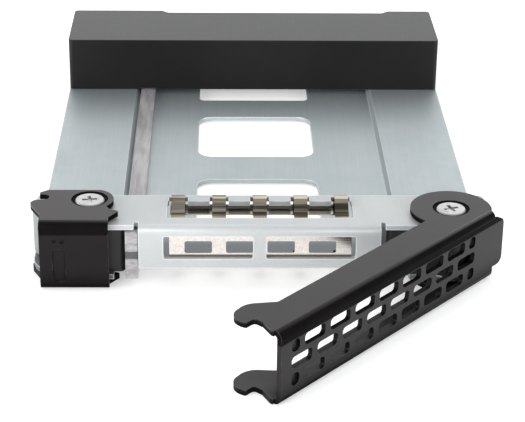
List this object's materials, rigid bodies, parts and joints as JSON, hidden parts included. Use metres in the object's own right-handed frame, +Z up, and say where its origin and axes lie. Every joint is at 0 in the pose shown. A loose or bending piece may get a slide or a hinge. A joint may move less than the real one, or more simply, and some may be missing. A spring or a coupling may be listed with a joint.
{
  "type": "hot-swap drive tray",
  "caption": "Sheet-steel tray for a small drive, with a slotted pull lever, a sprung latch, grounding fingers, a light pipe and a moulded block across the rear.",
  "frame": {"origin": "centre of the rectangle of four drive screw holes, at the height of the shelves that the drive lies on", "axes": "+X to the right seen from the front, +Y from the lever to the rear edge, +Z up out of the shelves"},
  "size_m": [0.0723, 0.1448, 0.0118],
  "materials": {
    "galvanised_steel": "galvanised, satin",
    "bracket_steel": "galvanised, smooth satin",
    "rivet_steel": "zinc plated",
    "nickel_strip": "bright nickel over copper alloy",
    "black_plastic": "moulded, satin",
    "block_plastic": "moulded, fine grain",
    "clear_acrylic": "clear, polished",
    "grey_plastic": "moulded",
    "black_paint": "black baked paint, satin",
    "black_bush": "blackened",
    "turned_steel": "turned",
    "zinc_screw": "bright zinc plated",
    "spring_steel": "drawn wire"
  },
  "bodies": {
    "tray": {"tray_plate": "galvanised_steel", "front_bracket": "bracket_steel", "bracket_rivets": "rivet_steel", "emi_gasket": "nickel_strip", "pivot_block_left": "black_plastic", "pivot_block_right": "black_plastic", "light_pipe": "clear_acrylic", "status_lens_upper": "clear_acrylic", "status_lens_lower": "clear_acrylic", "lens_divider": "grey_plastic", "lever_pivot_post": "turned_steel", "latch_pivot_post": "turned_steel", "lever_bush_top": "black_bush", "lever_bush_bottom": "black_bush", "latch_bush_top": "black_bush", "latch_bush_bottom": "black_bush", "lever_screw_top": "zinc_screw", "lever_screw_bottom": "zinc_screw", "latch_screw_top": "zinc_screw", "latch_screw_bottom": "zinc_screw", "rear_block": "block_plastic", "rear_block_screws": "zinc_screw"},
    "lever": {"lever": "black_paint"},
    "latch": {"latch": "black_paint", "latch_spring": "spring_steel"}
  },
  "joints": [
    {"name": "lever_swing", "type": "hinge", "parent": "tray", "child": "lever", "pos_m": [0.02878, -0.05548, 0.00375], "axis": [0, 0, 1], "range_deg": [-48, 7]},
    {"name": "latch_press", "type": "hinge", "parent": "tray", "child": "latch", "pos_m": [-0.02624, -0.05234, 0.00375], "axis": [0, 0, 1], "range_deg": [-8, 0], "stiffness_Nm_per_rad": 0.02, "springref_deg": 17.19}
  ]
}
